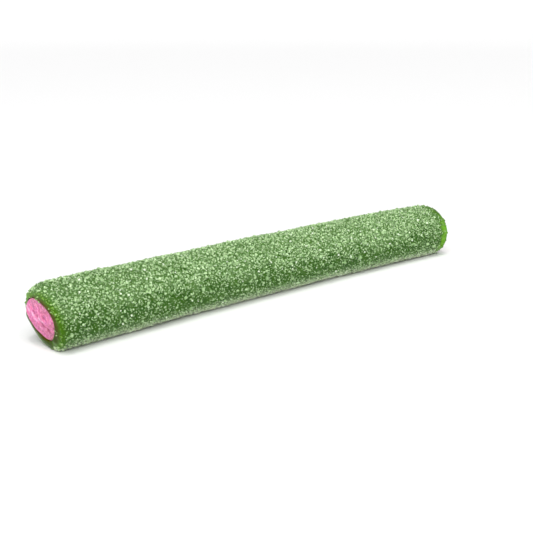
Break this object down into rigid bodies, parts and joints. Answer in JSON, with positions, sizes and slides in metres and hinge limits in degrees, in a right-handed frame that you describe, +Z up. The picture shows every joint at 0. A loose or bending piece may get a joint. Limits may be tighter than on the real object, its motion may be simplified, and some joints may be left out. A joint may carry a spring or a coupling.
{
  "type": "filled sour candy stick",
  "caption": "Finger-long sour watermelon candy stick: a sugar-coated green jelly tube round a pink fondant core, cut to length and lying on its side.",
  "frame": {"origin": "centre of the stick's box, on the surface that it lies on", "axes": "+X along the stick, away from its leaning cut; +Z up, away from the flat that it lies on"},
  "size_m": [0.0986, 0.0136, 0.012],
  "materials": {
    "sugared_jelly": "Green, slightly see-through jelly under a dense coat of fine white sour sugar with coarser crystals; the cut ends are bare and a little glossy.",
    "pink_fondant": "Soft opaque pink fondant, smeared smooth by the blade at the cut faces, with fine furrows and small pits and a satin sheen."
  },
  "bodies": {
    "root": {"green_jelly_shell": "sugared_jelly", "pink_filling": "pink_fondant"}
  },
  "joints": []
}
